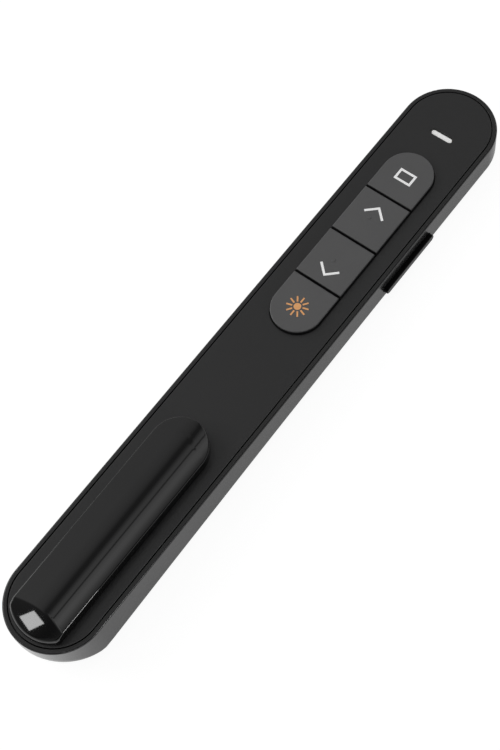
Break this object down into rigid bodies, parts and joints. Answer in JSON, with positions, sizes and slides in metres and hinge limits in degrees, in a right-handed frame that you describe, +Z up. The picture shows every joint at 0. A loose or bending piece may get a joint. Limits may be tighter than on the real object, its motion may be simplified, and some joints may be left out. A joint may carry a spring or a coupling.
{
  "type": "wireless presentation clicker",
  "caption": "Slim handheld remote with a block of thumb keys, a side rocker, a laser in its nose, a battery hump with a sliding door and a stowed USB receiver.",
  "frame": {"origin": "centre of the bounding box on the table, on the keel", "axes": "+Y along the body to the nose with the laser, +Z up out of the deck with the keys, +X to the side with the rocker"},
  "size_m": [0.0217, 0.1484, 0.0139],
  "materials": {
    "housing": "fine satin grain, near black",
    "cover": "fine satin grain, near black",
    "key": "soft matt, dark grey",
    "rocker": "smooth, dark grey",
    "light_guide": "clear, slightly milky",
    "switch_plunger": "smooth, tan",
    "board": "green solder mask",
    "chip": "moulded black",
    "steel": "bright, lightly brushed",
    "nickel": "nickel plated",
    "ceramic": "fired ceramic",
    "capacitor": "brown ceramic",
    "led": "clear epoxy",
    "brass": "turned",
    "lens": "clear",
    "window": "dark red filter",
    "cell_can": "satin silver grey sleeve",
    "lead_red": "red insulation",
    "lead_black": "black insulation",
    "receiver": "fine grain, black",
    "tongue": "white insulator",
    "contact": "gold plated",
    "screw": "zinc plated, dull"
  },
  "bodies": {
    "housing": {"lower_housing": "housing", "top_cover": "cover", "light_pipe": "light_guide", "rocker_pin": "steel", "main_board": "board", "key_switches": "chip", "switch_plates": "steel", "side_switches": "chip", "controller_chip": "chip", "radio_chip": "chip", "crystal_can": "nickel", "chip_antenna": "ceramic", "chip_capacitors": "capacitor", "status_led": "led", "laser_barrel": "brass", "laser_diode": "contact", "laser_lens": "lens", "laser_window": "window", "aaa_cell": "cell_can", "cell_cap": "nickel", "negative_plate": "nickel", "battery_spring": "nickel", "positive_plate": "nickel", "positive_lead": "lead_red", "negative_lead": "lead_black", "receiver_magnet": "nickel", "housing_screws": "screw"},
    "black_screen_key": {"black_screen_key": "key", "black_screen_plunger": "switch_plunger"},
    "up_key": {"up_key": "key", "up_plunger": "switch_plunger"},
    "down_key": {"down_key": "key", "down_plunger": "switch_plunger"},
    "laser_key": {"laser_key": "key", "laser_plunger": "switch_plunger"},
    "side_rocker": {"side_rocker": "rocker"},
    "battery_door": {"battery_door": "housing"},
    "receiver": {"receiver_case": "receiver", "receiver_plug": "nickel", "receiver_tongue": "tongue", "receiver_contacts": "contact"}
  },
  "joints": [
    {"name": "black_screen_key_press", "type": "slide", "parent": "housing", "child": "black_screen_key", "axis": [0, -0.0286, -0.9996], "range_m": [0, 0.0004], "stiffness_N_per_m": 4000},
    {"name": "up_key_press", "type": "slide", "parent": "housing", "child": "up_key", "axis": [0, -0.0286, -0.9996], "range_m": [0, 0.0004], "stiffness_N_per_m": 4000},
    {"name": "down_key_press", "type": "slide", "parent": "housing", "child": "down_key", "axis": [0, -0.0286, -0.9996], "range_m": [0, 0.0004], "stiffness_N_per_m": 4000},
    {"name": "laser_key_press", "type": "slide", "parent": "housing", "child": "laser_key", "axis": [0, -0.0286, -0.9996], "range_m": [0, 0.0004], "stiffness_N_per_m": 4000},
    {"name": "side_rocker_tilt", "type": "hinge", "parent": "housing", "child": "side_rocker", "pos_m": [0.0073, 0.0343, 0.00464], "axis": [0, 0.0286, 0.9996], "range_deg": [-1.4, 1.4], "stiffness_Nm_per_rad": 0.23},
    {"name": "battery_door_slide", "type": "slide", "parent": "housing", "child": "battery_door", "axis": [0, -1, 0], "range_m": [0, 0.056]},
    {"name": "receiver_pull", "type": "slide", "parent": "housing", "child": "receiver", "axis": [0, 0, -1], "range_m": [0, 0.008]}
  ]
}
